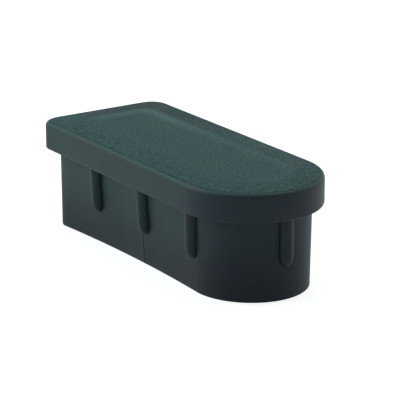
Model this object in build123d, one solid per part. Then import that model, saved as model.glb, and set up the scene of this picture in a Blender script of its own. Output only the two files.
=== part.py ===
from build123d import *
import math
import os

# Moulded end cap for a D-shaped tube, in millimetres.
#
# One piece: a thick D-shaped flange that covers the end of the tube, and below it a hollow plug that
# pushes into the tube. Half-round crush ribs with bullet-shaped noses run down the plug from the flange,
# along both long walls and at the middle of each end, and grip the inside of the tube. The long walls are
# drawn in a little towards the rim, and a cross web at mid-length ties them together.
#
# Frame: the origin is under the middle of the flange, on the plane that the rim of the plug stands on.
# +X points to the round end, +Y across the cap and +Z up, to the top face of the flange.

# --- Flange: the plate that covers the end of the tube ---
flange_length = 60.0
flange_width = 25.0
flange_thickness = 4.8
flange_corner = 3.6         # the two corners of the square end, in plan
top_edge_radius = 0.9
seat_edge_radius = 0.3

# --- Plug: the hollow skirt that goes into the tube ---
tube_wall = 1.0
plug_gap = 0.9              # from the inside of the tube to the walls of the plug
plug_depth = 14.3
plug_corner = 3.3
plug_wall = 1.8
waist = 1.15                # each long wall is hollowed in this far, at the middle of the rim
waist_length = 42.0         # along the rim
waist_height = 13.6         # from the rim up to where the wall is straight again
cavity_corner = 1.5
cavity_fillet = 1.0
top_skin = 2.4              # left between the hollow and the top face

# --- Cross web inside the plug ---
web_thickness = 1.2
web_setback = 2.0           # from the rim up to the web

# --- Crush ribs ---
rib_radius = 1.35
rib_length = 8.0            # from the flange down to the tip of the nose
nose_length = 2.1
rib_root = 0.5              # how far a rib reaches up into the flange
side_rib_count = 3          # along each long wall
rib_setback = 1.2           # last side rib, back from the centre of the round end

# --- Places worked out from the sizes ---
plug_inset = tube_wall + plug_gap
cavity_inset = plug_inset + plug_wall
total_height = plug_depth + flange_thickness
round_centre_x = flange_length / 2 - flange_width / 2
wall_y = plug_inset - flange_width / 2                        # the near long wall, where it is straight
wall_middle_x = (round_centre_x + plug_inset + plug_corner - flange_length / 2) / 2
waist_radius = (waist_length**2 / 4 + waist**2) / (2 * waist)
waist_slope = waist / waist_height
waist_axis_y = wall_y + waist - waist_radius


def square_end_x(inset):
    """Where the square end lies on an outline that is inset from the edge of the flange."""
    return inset - flange_length / 2


def d_prism(inset, corner, height):
    """Upright D: a square end with rounded corners, two straight long sides and a full round end."""
    half = flange_width / 2 - inset
    square_x = square_end_x(inset)
    outline = Curve() + [
        Line((square_x, half - corner), (square_x, corner - half)),
        TangentArc((square_x, corner - half), (square_x + corner, -half), tangent=(0, -1)),
        Line((square_x + corner, -half), (round_centre_x, -half)),
        TangentArc((round_centre_x, -half), (round_centre_x, half), tangent=(1, 0)),
        Line((round_centre_x, half), (square_x + corner, half)),
        TangentArc((square_x, half - corner), (square_x + corner, half), tangent=(0, 1)),
    ]
    return extrude(make_face(outline), height)


def waisted_prism(inset, corner, height):
    """Upright D with both long sides hollowed towards the rim, each by the side of a very wide cone."""
    wall_offset = inset - plug_inset
    cone = Cone(
        waist_radius + wall_offset,
        waist_radius + wall_offset - waist_slope * height,
        height,
        align=(Align.CENTER, Align.CENTER, Align.MIN),
    )
    near_cone = Pos(wall_middle_x, waist_axis_y, 0) * cone
    return d_prism(inset, corner, height) - near_cone - mirror(near_cone, about=Plane.XZ)


def flange():
    """The plate that covers the end of the tube, with a rounded top edge and a soft lower one."""
    plate = Pos(0, 0, plug_depth) * d_prism(0, flange_corner, flange_thickness)
    plate = fillet(plate.faces().sort_by(Axis.Z)[-1].edges(), top_edge_radius)
    return fillet(plate.faces().sort_by(Axis.Z)[0].edges(), seat_edge_radius)


def cavity():
    """The hollow inside the plug, which runs up into the flange as far as the top skin."""
    hollow = waisted_prism(cavity_inset, cavity_corner, total_height - top_skin)
    return fillet(hollow.faces().sort_by(Axis.Z)[-1].edges(), cavity_fillet)


def crush_rib(seat_point, lower_point):
    """Round pin with a bullet-shaped nose, half sunk in the wall along the line between two points."""
    shank_length = rib_length - nose_length
    profile = Curve() + [
        Line((0, rib_length), (0, -rib_root)),
        Line((0, -rib_root), (rib_radius, -rib_root)),
        Line((rib_radius, -rib_root), (rib_radius, shank_length)),
        Bezier((rib_radius, shank_length), (rib_radius, rib_length), (0, rib_length)),
    ]
    pin = revolve(Plane.XZ * make_face(profile), Axis.Z)
    return Plane(origin=seat_point, z_dir=lower_point - seat_point) * pin


def waisted_wall_y(x, z):
    """Where the outside of the near long wall is, at a place along it and a height above the rim."""
    radius = waist_radius - waist_slope * z
    return max(wall_y, waist_axis_y + math.sqrt(radius**2 - (x - wall_middle_x) ** 2))


def side_ribs():
    """Evenly spaced ribs along one long wall, each leaning with the wall that carries it."""
    first_x = square_end_x(plug_inset)
    bay = (round_centre_x - rib_setback - first_x) / side_rib_count
    tip_z = plug_depth - rib_length
    ribs = []
    for number in range(1, side_rib_count + 1):
        x = first_x + number * bay
        ribs.append(crush_rib(Vector(x, wall_y, plug_depth), Vector(x, waisted_wall_y(x, tip_z), tip_z)))
    return ribs


def end_ribs():
    """One rib down the middle of the square end, and one down the tip of the round end."""
    places = [square_end_x(plug_inset), flange_length / 2 - plug_inset]
    return [crush_rib(Vector(x, 0, plug_depth), Vector(x, 0, 0)) for x in places]


def cross_web(hollow):
    """The web at mid-length, cut to the shape of the hollow that it crosses."""
    web_height = total_height - web_setback
    web = Box(web_thickness, flange_width, web_height, align=(Align.CENTER, Align.CENTER, Align.MIN))
    return Pos(0, 0, web_setback) * web & hollow


def end_cap():
    """The whole moulding."""
    near_ribs = side_ribs()
    far_ribs = [mirror(rib, about=Plane.XZ) for rib in near_ribs]
    hollow = cavity()
    body = flange() + waisted_prism(plug_inset, plug_corner, plug_depth)
    for rib in near_ribs + far_ribs + end_ribs():
        body += rib
    return body - hollow + cross_web(hollow)


os.makedirs("parts", exist_ok=True)
export_step(end_cap(), "parts/end_cap.step")
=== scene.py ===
"""Shape, finish, light and camera for a moulded plastic end cap.

The moulding is drawn in millimetres and put in the scene in metres, in the frame of the CAD model.
"""

import bpy
import math
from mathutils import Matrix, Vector


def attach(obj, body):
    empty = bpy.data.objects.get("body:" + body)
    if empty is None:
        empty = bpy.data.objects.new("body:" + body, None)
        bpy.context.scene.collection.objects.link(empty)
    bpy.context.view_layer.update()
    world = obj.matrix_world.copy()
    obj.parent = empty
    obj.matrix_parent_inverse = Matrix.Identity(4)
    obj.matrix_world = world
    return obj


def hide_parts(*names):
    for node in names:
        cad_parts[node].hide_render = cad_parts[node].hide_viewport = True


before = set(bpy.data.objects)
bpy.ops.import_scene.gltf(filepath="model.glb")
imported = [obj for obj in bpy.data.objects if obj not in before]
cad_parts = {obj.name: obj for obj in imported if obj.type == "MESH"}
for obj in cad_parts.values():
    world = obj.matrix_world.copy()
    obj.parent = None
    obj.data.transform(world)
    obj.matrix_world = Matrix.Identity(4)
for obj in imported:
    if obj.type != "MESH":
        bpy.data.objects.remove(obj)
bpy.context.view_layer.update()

# --- Camera: angles in degrees, azimuth 0 looking along +Y ---
view_azimuth = 56.24
view_elevation = 17.62
view_distance = 0.380
view_lens = 198.5
view_aim = Vector((0.00097, 0.00131, 0.00977))

# --- Light ---
background_white = 1.0
ambient_strength = 0.09
ambient_colour = (0.95, 0.82, 1.0, 1)
mirrored_white = 1.0            # how bright the white surroundings are in the sheen of the plastic
mirrored_room = 0.3             # the same for the room behind the camera
mirrored_floor = 0.72
mirrored_tint = (0.88, 0.99, 1.0)
lamp_colour = (0.82, 1.0, 0.96)
floor_colour = (0.8, 0.8, 0.8, 1)
floor_bounce_colour = (0.3, 0.3, 0.32, 1)
floor_glow = 0.8
floor_size = 2.4
floor_z = -0.00002
lamps = [
    # name, azimuth, elevation, distance, width, height, power
    ("left_softbox", -40, 35, 0.6, 0.5, 0.5, 1.4),
    ("top_softbox", 200, 70, 0.7, 0.6, 0.6, 1.7),
]

# --- Plastic: noise sizes are per metre, places and widths in millimetres ---
# A lit green copy and a darker, shaded blue copy of the plastic, mixed as painted shade.
lit_green_plastic = (0.020, 0.060, 0.061, 1)
shaded_blue_plastic = (0.018, 0.032, 0.047, 1)
grain_scale = 2300
grain_depth = 0.00006           # metres
cloud_scale = 160
drift_scale = 110
scuff_scale = 900
streak_scale = (420, 420, 60)
# Painted shade and highlight of the top face: where the shaded border fades out, and where the light ridge
# lies and how wide it is.
border_inner_edge = (4.6, 5.6)  # where the darker border of the top face fades out, in from the edge
ridge_inset = 6.2
ridge_width = 4.4
# The sink lines are drawn only as painted shade and highlight.
sink_lines = [(-14.4, 0.25), (0.1, 0.85)]   # place along the long walls, and how dark
sink_top = (5.4, 6.4)           # height at which the sink lines fade out

# --- Moulding, in millimetres ---
flange_length = 60.0
flange_width = 25.0
flange_corner = 2.9
edge_height = 19.25
top_edge_radius = 0.9
seat_edge_radius = 0.3
crown_width = 7.5
crown_rise = 0.3
crown_corner = 2.0
plug_inset = 2.0
plug_depth = 14.2
plug_corner = 2.5
plug_wall = 1.8
rim_radius = 0.15
waist_at_square_end = 0.1
waist_at_middle = 1.05
waist_at_round_end = 0.4
cavity_inset = plug_inset + plug_wall
cavity_corner = 1.2
cavity_height = 16.7
cavity_radius = 1.0
web_thickness = 1.2
web_setback = 2.0
rib_radius = 1.25
rib_length = 8.4
nose_length = 2.3
rib_root = 0.5
side_rib_count = 3
round_centre_x = flange_length / 2 - flange_width / 2
first_rib_x = -13.8
rib_spacing = 14.95
side_rib_places = [first_rib_x + rib_spacing * number for number in range(side_rib_count)]


def link(thing):
    """Puts an object in the scene and returns it."""
    bpy.context.scene.collection.objects.link(thing)
    return thing


def direction(azimuth, elevation):
    """Unit vector from the object towards a viewer or lamp at those angles."""
    a, e = math.radians(azimuth), math.radians(elevation)
    return Vector((math.sin(a) * math.cos(e), -math.cos(a) * math.cos(e), math.sin(e)))


def aim_from(thing, target, back, distance):
    """Stands a camera or lamp off from the target and points it there."""
    thing.location = target + back * distance
    thing.rotation_euler = (-back).to_track_quat("-Z", "Y").to_euler()


# --- Shape ---


def waist_at(x, start, end, share):
    """How far the wall is drawn in at x: a smooth curve through its two ends and its middle."""
    at_start = waist_at_square_end * x * (x - end) / (start * (start - end))
    at_middle = waist_at_middle * (x - start) * (x - end) / (start * end)
    at_end = waist_at_round_end * x * (x - start) / (end * (end - start))
    return share * (at_start + at_middle + at_end)


def d_ring(height, inset, corner, share=0.0):
    """One turn round the D at that height. share is how much of the rim's waist it has, from 0 to 1."""
    half = flange_width / 2 - inset
    square_x = inset - flange_length / 2
    start, end = square_x + corner, round_centre_x
    near = []
    corner_y = waist_at(start, start, end, share) - half + corner
    for step in range(9):
        turn = math.radians(180 + 90 * step / 8)
        near.append((start + corner * math.cos(turn), corner_y + corner * math.sin(turn)))
    for step in range(1, 24):
        x = start + (end - start) * step / 24
        near.append((x, waist_at(x, start, end, share) - half))
    for step in range(33):
        turn = math.radians(-90 + 90 * step / 32)
        near.append((end + half * math.cos(turn), (half - share * waist_at_round_end) * math.sin(turn)))
    far = [(x, -y) for x, y in reversed(near[:-1])]
    return [(x, y, height) for x, y in near + far]


def round_edge(inset, height, radius, corner, inward, downward, share=0.0, steps=5):
    """Rings over a rounded edge. inward and downward are 1 or -1: which way its middle lies."""
    rings = []
    for step in range(steps + 1):
        turn = math.radians(90 * step / steps)
        across, down = radius * (1 - math.sin(turn)), radius * (1 - math.cos(turn))
        rings.append(d_ring(height - downward * down, inset + inward * across, corner, share))
    return rings


def moulding_rings():
    """Rings down the outside of the moulding, round the rim and up the hollow."""
    top = edge_height + crown_rise
    rings = []
    for step in range(13):
        fall = step / 12 * (1 - top_edge_radius / crown_width)
        corner = crown_corner + (flange_corner - crown_corner) * fall
        rings.append(d_ring(top - crown_rise * fall**2, crown_width * (1 - fall), corner))
    edge_top = top - crown_rise * (1 - top_edge_radius / crown_width) ** 2
    rings += round_edge(0, edge_top, top_edge_radius, flange_corner, 1, 1, steps=8)[1:]
    rings += round_edge(0, plug_depth, seat_edge_radius, flange_corner, 1, -1)[::-1]
    for step in range(7):
        share = step / 6 * (1 - rim_radius / plug_depth)
        rings.append(d_ring(plug_depth * (1 - share), plug_inset, plug_corner, share))
    rings += round_edge(plug_inset, 0, rim_radius, plug_corner, 1, -1, share=1.0, steps=3)[::-1][1:]
    rings += round_edge(cavity_inset, 0, rim_radius, cavity_corner, -1, -1, share=1.0, steps=3)
    for step in range(1, 7):
        rings.append(d_ring(plug_depth * step / 6, cavity_inset, cavity_corner, 1 - step / 6))
    rings += round_edge(cavity_inset, cavity_height, cavity_radius, cavity_corner, 1, 1)[::-1]
    return rings


class Shape:
    """Points and faces that are added up into one mesh."""

    def __init__(self):
        self.points = []
        self.faces = []

    def loft(self, rings):
        """Joins rings of points with faces, and closes both ends."""
        first, count = len(self.points), len(rings[0])
        for ring in rings:
            self.points += ring
        for number in range(len(rings) - 1):
            low = first + number * count
            for k in range(count):
                turn = (k + 1) % count
                self.faces.append((low + k, low + count + k, low + count + turn, low + turn))
        last = first + (len(rings) - 1) * count
        self.faces.append(tuple(range(first, first + count)))
        self.faces.append(tuple(reversed(range(last, last + count))))


def rib_rings(seat_point, rim_point):
    """Rings down a round pin with a bullet-shaped nose, from its root in the flange."""
    down = (Vector(rim_point) - Vector(seat_point)).normalized()
    side = down.orthogonal().normalized()
    other = down.cross(side)
    shank = rib_length - nose_length
    profile = [(-rib_root, rib_radius), (shank, rib_radius)]
    for step in range(1, 12):
        t = step / 12
        profile.append((rib_length - (1 - t) ** 2 * nose_length, rib_radius * (1 - t * t)))
    profile.append((rib_length, 0.02))
    rings = []
    for depth, radius in profile:
        middle = Vector(seat_point) + down * depth
        ring = []
        for step in range(32):
            turn = math.radians(360 * step / 32)
            ring.append(tuple(middle + (side * math.cos(turn) + other * math.sin(turn)) * radius))
        rings.append(ring)
    return rings


def rib_points():
    """Where the ribs run: a point on the seat and one on the rim for each."""
    half = flange_width / 2 - plug_inset
    square_x = plug_inset - flange_length / 2
    tip_x = round_centre_x + half
    start = square_x + plug_corner
    points = [((square_x, 0, plug_depth), (square_x, 0, 0)), ((tip_x, 0, plug_depth), (tip_x, 0, 0))]
    for x in side_rib_places:
        y = waist_at(x, start, round_centre_x, 1.0) - half
        points.append(((x, -half, plug_depth), (x, y, 0)))
        points.append(((x, half, plug_depth), (x, -y, 0)))
    return points


def web_rings():
    """The cross web, which runs a little way into the walls and the skin above it."""
    wide = flange_width / 2 - cavity_inset + 0.5
    rings = []
    for height in (web_setback, cavity_height + 0.4):
        x = web_thickness / 2
        rings.append([(-x, -wide, height), (-x, wide, height), (x, wide, height), (x, -wide, height)])
    return rings


def mesh_object(name, shape):
    """That shape as an object in the scene, in metres."""
    mesh = bpy.data.meshes.new(name)
    mesh.from_pydata([Vector(point) / 1000 for point in shape.points], [], shape.faces)
    mesh.update()
    return link(bpy.data.objects.new(name, mesh))


def make_moulding():
    """The whole cap as one closed piece in place of the CAD node."""
    walls, ribs, web = Shape(), Shape(), Shape()
    walls.loft(moulding_rings())
    for seat_point, rim_point in rib_points():
        ribs.loft(rib_rings(seat_point, rim_point))
    web.loft(web_rings())
    piece = mesh_object("cap_moulding", walls)
    for name, shape in (("ribs", ribs), ("web", web)):
        addition = mesh_object(name, shape)
        union = piece.modifiers.new(name, "BOOLEAN")
        union.operation, union.solver, union.object = "UNION", "EXACT", addition
        evaluated = piece.evaluated_get(bpy.context.evaluated_depsgraph_get())
        joined = bpy.data.meshes.new_from_object(evaluated)
        piece.modifiers.clear()
        piece.data = joined
        bpy.data.objects.remove(addition)
    piece.data.name = "cap_moulding"
    piece.data.shade_smooth()
    piece.data.set_sharp_from_angle(angle=math.radians(35))
    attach(piece, "root")
    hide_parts("end_cap")
    return piece


# --- Shader helpers ---


def feed(tree, socket, value):
    """Links a socket to an input, or sets the input to a value."""
    if isinstance(value, bpy.types.NodeSocket):
        tree.links.new(value, socket)
    else:
        socket.default_value = value


def node(tree, kind, **inputs):
    """A node of that kind, with values or links for the inputs that are named."""
    made = tree.nodes.new("ShaderNode" + kind)
    for name, value in inputs.items():
        feed(tree, made.inputs[name.replace("_", " ")], value)
    return made


def maths(tree, operation, *values, clamp=False):
    """The output of a Math node on those values or sockets."""
    made = tree.nodes.new("ShaderNodeMath")
    made.operation, made.use_clamp = operation, clamp
    for socket, value in zip(made.inputs, values):
        feed(tree, socket, value)
    return made.outputs[0]


def ramp(tree, value, start, end, low=0.0, high=1.0):
    """low up to start, high from end on, and an even change between them."""
    made = tree.nodes.new("ShaderNodeMapRange")
    made.interpolation_type = "SMOOTHSTEP"
    tree.links.new(value, made.inputs["Value"])
    for name, number in zip(("From Min", "From Max", "To Min", "To Max"), (start, end, low, high)):
        made.inputs[name].default_value = number
    return made.outputs["Result"]


def noise(tree, place, scale, detail, roughness=0.5):
    """Noise from 0 to 1 at that scale."""
    made = node(tree, "TexNoise", Vector=place, Scale=scale, Detail=detail, Roughness=roughness)
    return made.outputs["Fac"]


def swing(tree, value):
    """A value from 0 to 1 as one from -0.5 to 0.5."""
    return maths(tree, "SUBTRACT", value, 0.5)


def scaled(tree, vector, factor):
    """A vector or colour multiplied by a number or socket."""
    made = tree.nodes.new("ShaderNodeVectorMath")
    made.operation = "SCALE"
    feed(tree, made.inputs[0], vector)
    feed(tree, made.inputs["Scale"], factor)
    return made.outputs[0]


def line(tree, value, middle, width):
    """1 where the value is at the middle of a line, and 0 from half its width on."""
    away = maths(tree, "ABSOLUTE", maths(tree, "SUBTRACT", value, middle))
    return ramp(tree, away, 0.0, width / 2, 1.0, 0.0)


def product(tree, *values):
    """All those values multiplied."""
    result = values[0]
    for value in values[1:]:
        result = maths(tree, "MULTIPLY", result, value)
    return result


def empty_material(name):
    """A material with an empty node tree."""
    material = bpy.data.materials.new(name)
    material.use_nodes = True
    material.node_tree.nodes.clear()
    return material, material.node_tree


# --- Camera, light and floor ---


def make_camera():
    data = bpy.data.cameras.new("camera")
    data.lens = view_lens
    data.sensor_width = 36.0
    data.clip_start, data.clip_end = 0.01, 20.0
    camera = link(bpy.data.objects.new("camera", data))
    aim_from(camera, view_aim, direction(view_azimuth, view_elevation), view_distance)
    bpy.context.scene.camera = camera


def make_lamps():
    for name, azimuth, elevation, distance, width, height, power in lamps:
        data = bpy.data.lights.new(name, "AREA")
        data.shape = "RECTANGLE"
        data.size, data.size_y, data.energy = width, height, power
        data.color = lamp_colour
        lamp = link(bpy.data.objects.new(name, data))
        aim_from(lamp, Vector((0, 0, 0)), direction(azimuth, elevation), distance)


def make_world():
    """White where it is seen, less bright in a reflection, and a dim plain light elsewhere."""
    world = bpy.data.worlds.new("studio")
    bpy.context.scene.world = world
    world.use_nodes = True
    tree = world.node_tree
    tree.nodes.clear()
    path = node(tree, "LightPath")
    towards_viewer = node(tree, "VectorMath")
    towards_viewer.operation = "DOT_PRODUCT"
    tree.links.new(node(tree, "TexCoord").outputs["Generated"], towards_viewer.inputs[0])
    towards_viewer.inputs[1].default_value = direction(view_azimuth, 0)
    bright = ramp(tree, towards_viewer.outputs["Value"], 0.2, 0.95, mirrored_white, mirrored_room)
    mirrored = scaled(tree, mirrored_tint, bright)
    glossy = node(tree, "MixRGB", Fac=path.outputs["Is Glossy Ray"], Color2=mirrored)
    glossy.inputs["Color1"].default_value = [ambient_strength * c for c in ambient_colour[:3]] + [1]
    camera_ray, clear_ray = path.outputs["Is Camera Ray"], path.outputs["Is Transmission Ray"]
    seen = maths(tree, "ADD", camera_ray, clear_ray, clamp=True)
    white = (background_white, background_white, background_white, 1)
    colour = node(tree, "MixRGB", Fac=seen, Color1=glossy.outputs[0], Color2=white)
    background = node(tree, "Background", Color=colour.outputs[0])
    node(tree, "OutputWorld", Surface=background.outputs[0])


def make_floor():
    half = floor_size / 2
    corners = [(x * half, y * half, floor_z) for x, y in ((-1, -1), (1, -1), (1, 1), (-1, 1))]
    mesh = bpy.data.meshes.new("floor")
    mesh.from_pydata(corners, [], [(0, 1, 2, 3)])
    material, tree = empty_material("floor_white")
    path = node(tree, "LightPath")
    mirrored = maths(tree, "MULTIPLY", path.outputs["Is Glossy Ray"], mirrored_floor)
    seen = maths(tree, "ADD", path.outputs["Is Camera Ray"], mirrored, clamp=True)
    colour = node(tree, "MixRGB", Fac=seen, Color1=floor_bounce_colour, Color2=floor_colour)
    scattered = node(tree, "BsdfDiffuse", Color=colour.outputs[0])
    glow = node(tree, "Emission", Strength=maths(tree, "MULTIPLY", seen, floor_glow))
    both = node(tree, "AddShader")
    tree.links.new(scattered.outputs[0], both.inputs[0])
    tree.links.new(glow.outputs[0], both.inputs[1])
    node(tree, "OutputMaterial", Surface=both.outputs[0])
    mesh.materials.append(material)
    link(bpy.data.objects.new("floor", mesh))


# --- Finish ---


def distance_in(tree, x, y):
    """Distance in from the edge of the flange, in millimetres, rounded where the sides meet."""
    past_centre = maths(tree, "MAXIMUM", maths(tree, "SUBTRACT", x, round_centre_x), 0.0)
    squares = maths(tree, "ADD", product(tree, past_centre, past_centre), product(tree, y, y))
    from_side = maths(tree, "SUBTRACT", flange_width / 2, maths(tree, "SQRT", squares))
    from_square_end = maths(tree, "ADD", x, flange_length / 2)
    return maths(tree, "SMOOTH_MIN", from_side, from_square_end, 4.0)


def painted_border_shade_and_ridge_highlight(tree, x, y, inset, top):
    """Painted shade on the border of the top face, and a painted highlight on the ridge where it meets the
    level middle, on the far half and towards the square end.
    """
    far_half = ramp(tree, y, -8.0, 2.0, 0.0, 1.0)
    square_end_side = ramp(tree, x, -24.0, 8.0, 1.0, 0.25)
    border = product(tree, ramp(tree, inset, *border_inner_edge, 1.0, 0.0), far_half, square_end_side, top)
    ridge = product(tree, line(tree, inset, ridge_inset, ridge_width), far_half, square_end_side, top)
    return border, ridge


def sink_line_shading(tree, x, y, z):
    """Painted shade and highlight for sink lines down the long walls: a dark line with a lighter one
    beside it.
    """
    long_walls = ramp(tree, maths(tree, "ABSOLUTE", y), 8.0, 8.5)
    below = product(tree, ramp(tree, z, *sink_top, 1.0, 0.0), long_walls)
    marks = 0.0
    for middle, depth in sink_lines:
        dark = product(tree, line(tree, x, middle, 0.7), below, -0.7 * depth)
        light = product(tree, line(tree, x, middle - 0.6, 0.9), below, 0.35 * depth)
        marks = maths(tree, "ADD", marks, maths(tree, "ADD", dark, light))
    return marks


def edge_highlight_and_scuffs(tree, place, x, z, inset):
    """A painted highlight along the lower edge of the flange, broken up by scuffs, most of it towards the
    square end.
    """
    edge = product(tree, line(tree, z, plug_depth + 0.15, 1.0), ramp(tree, inset, 0.1, 0.8, 1.0, 0.0))
    scuffs = ramp(tree, noise(tree, place, scuff_scale, 2), 0.46, 0.6)
    return product(tree, edge, scuffs, ramp(tree, x, -2.0, 6.0, 1.2, 0.1))


def plastic_colour_with_painted_shade(tree, place, x, z, facing):
    """Painted shade: the darker blue copy low down and round the other end, the green one on top and by
    the square end, with a slow random drift between them.
    """
    drift = swing(tree, noise(tree, place, drift_scale, 2))
    # Painted shade: more of the shaded blue copy round the round end, low down and away from the top, plus
    # a random drift.
    shaded_share = maths(tree, "MULTIPLY_ADD", drift, 1.6, ramp(tree, x, 8.0, 24.0, 0.2, 0.8))
    shaded_share = maths(tree, "ADD", shaded_share, ramp(tree, z, 0.0, 12.0, 0.4, 0.0))
    shaded_share = maths(tree, "MULTIPLY", shaded_share, ramp(tree, facing, 0.3, 0.9, 1.0, 0.0), clamp=True)
    return node(tree, "MixRGB", Fac=shaded_share, Color1=lit_green_plastic, Color2=shaded_blue_plastic).outputs[0]


def cap_plastic():
    """Dark green-blue moulded plastic, with a fine grain on top, plain walls, painted shade and highlights
    on the top border and ridge, the sink lines and the lower flange edge, and painted shade towards the
    rim and round end.
    """
    material, tree = empty_material("cap_plastic")
    place = node(tree, "TexCoord").outputs["Object"]
    x, y, z = node(tree, "SeparateXYZ", Vector=scaled(tree, place, 1000)).outputs
    normal = node(tree, "NewGeometry").outputs["Normal"]
    facing = node(tree, "SeparateXYZ", Vector=normal).outputs[2]
    top = product(tree, ramp(tree, facing, 0.75, 0.97), ramp(tree, z, 17.0, 18.0))
    inset = distance_in(tree, x, y)
    # Painted shade on the border of the top face and a painted highlight on its ridge.
    border, ridge = painted_border_shade_and_ridge_highlight(tree, x, y, inset, top)
    # Painted shade and highlight of the sink lines.
    sink_shading = sink_line_shading(tree, x, y, z)

    grain = noise(tree, place, grain_scale, 3, 0.6)
    cloud = noise(tree, place, cloud_scale, 4, 0.55)
    streak_place = node(tree, "Mapping", Vector=place, Scale=streak_scale).outputs[0]
    streak = noise(tree, streak_place, 1, 3, 0.6)

    # Brightness of the colour: each of these is added to 1.
    # Painted shade on the top face's border, then a painted highlight on its ridge.
    shade = maths(tree, "MULTIPLY_ADD", border, -0.48, 1.0)
    shade = maths(tree, "ADD", shade, product(tree, ridge, 0.3))
    for texture, on_top, on_walls in ((grain, 1.7, 0.3), (cloud, 0.35, 0.2), (streak, -0.3, 0.3)):
        amount = maths(tree, "MULTIPLY_ADD", top, on_top, on_walls)
        shade = maths(tree, "ADD", shade, product(tree, swing(tree, texture), amount))
    # Painted shade: the colour darker towards the rim.
    shade = maths(tree, "MULTIPLY", shade, ramp(tree, z, 0.0, 13.0, 0.68, 1.0))
    # Painted shade and highlight of the sink lines.
    shade = maths(tree, "ADD", shade, sink_shading)
    # Painted highlight along the lower edge of the flange, broken up by scuffs.
    shade = maths(tree, "ADD", shade, edge_highlight_and_scuffs(tree, place, x, z, inset))
    # Colour with the shaded blue copy mixed in as painted shade.
    colour = scaled(tree, plastic_colour_with_painted_shade(tree, place, x, z, facing), shade)

    # Sheen: low on the grained top face, and lower towards the rim as painted shade in the reflection.
    sheen = maths(tree, "MULTIPLY_ADD", top, -0.2, 0.34)
    sheen = product(tree, sheen, ramp(tree, z, 0.0, 14.0, 0.7, 1.0))
    # The ridge's painted highlight raises the sheen too.
    change = maths(tree, "ADD", product(tree, ridge, 0.16), product(tree, swing(tree, grain), top, 0.4))
    # The sink lines' painted shade and highlight go into the sheen too.
    change = maths(tree, "MULTIPLY_ADD", sink_shading, 0.22, change)
    sheen = maths(tree, "ADD", sheen, change, clamp=True)

    rough = maths(tree, "MULTIPLY_ADD", top, 0.1, 0.5)
    rough = maths(tree, "MULTIPLY_ADD", swing(tree, cloud), 0.2, rough)
    height = maths(tree, "MULTIPLY", grain, maths(tree, "MULTIPLY_ADD", top, 0.85, 0.15))
    bump = node(tree, "Bump", Strength=0.35, Distance=grain_depth, Height=height)
    shader = node(
        tree,
        "BsdfPrincipled",
        Base_Color=colour,
        Roughness=rough,
        Specular_IOR_Level=sheen,
        Normal=bump.outputs[0],
    )
    node(tree, "OutputMaterial", Surface=shader.outputs[0])
    return material


plastic = cap_plastic()
cap = make_moulding()
cap.data.materials.append(plastic)
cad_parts["end_cap"].data.materials.clear()
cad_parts["end_cap"].data.materials.append(plastic)
make_camera()
make_world()
make_floor()
make_lamps()

bpy.context.scene.view_settings.view_transform = "Standard"
